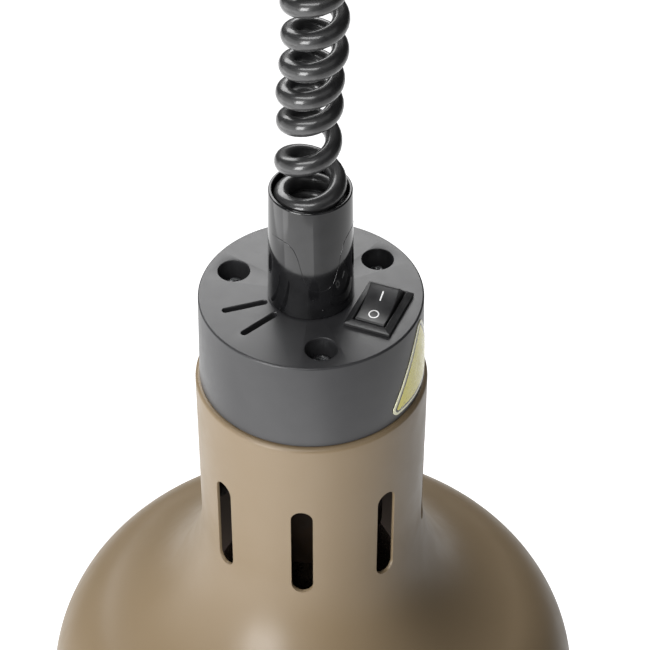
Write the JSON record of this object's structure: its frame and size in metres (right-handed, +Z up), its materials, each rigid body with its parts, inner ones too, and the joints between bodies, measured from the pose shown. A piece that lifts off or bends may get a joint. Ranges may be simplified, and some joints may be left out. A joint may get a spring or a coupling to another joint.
{
  "type": "pendant heat lamp",
  "caption": "Hanging infrared heat lamp: ceiling rose, spiral cord, round switched cap, slotted neck and bell shade around a reflector bulb.",
  "frame": {"origin": "middle of the face that the ceiling bracket holds to the ceiling", "axes": "+Z up, out of the bracket into the ceiling; the lamp hangs along -Z; -Y is the front, with the rocker switch front right"},
  "size_m": [0.19, 0.19, 0.47],
  "materials": {
    "bronze_painted_aluminium": "satin taupe-bronze paint on spun aluminium",
    "cap_grey_plastic": "fine-textured dark grey moulded plastic",
    "black_gloss_plastic": "polished black",
    "black_satin_plastic": "satin black",
    "cord_black": "semi-gloss black cord sheath",
    "zinc_steel": "zinc plated",
    "black_painted_steel": "matt heat-proof black paint",
    "brass": "plain",
    "nickel": "nickel plated",
    "tungsten": "drawn wire",
    "ivory_plastic": "moulded",
    "porcelain": "glazed porcelain",
    "bulb_glass": "clear glass",
    "yellow_label": "printed film",
    "wire_brown": "insulated",
    "wire_blue": "insulated",
    "wire_green": "insulated"
  },
  "bodies": {
    "ceiling": {"ceiling_bracket": "zinc_steel", "ceiling_hook": "zinc_steel", "ceiling_rose": "black_satin_plastic", "rose_screw_left": "zinc_steel", "rose_screw_right": "zinc_steel", "terminal_block": "ivory_plastic"},
    "link": {"swivel_link": "zinc_steel"},
    "hanger": {"hanger_eye": "zinc_steel", "upper_cable_cup": "black_gloss_plastic", "hanger_nut": "zinc_steel", "cord_tail_upper": "cord_black", "spiral_cord": "cord_black"},
    "lamp": {"cable_cup": "black_gloss_plastic", "cable_cup_nut": "zinc_steel", "cord_grip": "ivory_plastic", "cord_tail_lower": "cord_black", "cap": "cap_grey_plastic", "cap_screw_1": "zinc_steel", "cap_screw_2": "zinc_steel", "cap_screw_3": "zinc_steel", "label": "yellow_label", "switch_body": "black_satin_plastic", "switch_terminal_feed": "brass", "switch_terminal_lamp": "brass", "shade": "bronze_painted_aluminium", "mounting_disc": "zinc_steel", "lampholder_cup": "black_painted_steel", "lampholder_body": "porcelain", "lampholder_screw_front": "zinc_steel", "lampholder_screw_back": "zinc_steel", "screw_shell": "brass", "centre_contact": "brass", "wire_feed": "wire_brown", "wire_switched": "wire_brown", "wire_neutral": "wire_blue", "wire_earth": "wire_green", "earth_screw": "brass"},
    "rocker": {"switch_rocker": "black_satin_plastic"},
    "bulb_seat": {"bulb_tip": "brass"},
    "bulb": {"bulb_insulator": "black_gloss_plastic", "bulb_cap": "nickel", "bulb_glass": "bulb_glass", "bulb_stem": "bulb_glass", "lead_wire_left": "nickel", "lead_wire_right": "nickel", "filament": "tungsten"}
  },
  "joints": [
    {"name": "swing_front_back", "type": "hinge", "parent": "ceiling", "child": "link", "pos_m": [0, 0, -0.017], "axis": [1, 0, 0], "range_deg": [-10, 10]},
    {"name": "swing_side", "type": "hinge", "parent": "link", "child": "hanger", "pos_m": [0, 0, -0.0252], "axis": [0, 1, 0], "range_deg": [-10, 10]},
    {"name": "rise_and_fall", "type": "slide", "parent": "hanger", "child": "lamp", "axis": [0, 0, -1], "range_m": [-0.03, 0.08], "deforming": ["spiral_cord"]},
    {"name": "switch_press", "type": "hinge", "parent": "lamp", "child": "rocker", "pos_m": [0.02088, -0.00865, -0.2207], "axis": [-0.9239, 0.3827, 0], "range_deg": [0, 36]},
    {"name": "bulb_travel", "type": "slide", "parent": "lamp", "child": "bulb_seat", "axis": [0, 0, -1], "range_m": [0, 0.0182]},
    {"name": "bulb_turn", "type": "hinge", "parent": "bulb_seat", "child": "bulb", "pos_m": [0, 0, -0.2757], "axis": [0, 0, -1], "range_deg": [0, 1800]}
  ],
  "couplings": [
    {"joint": "bulb_travel", "follows": "bulb_turn", "m_per_rad": 0.0005776}
  ]
}
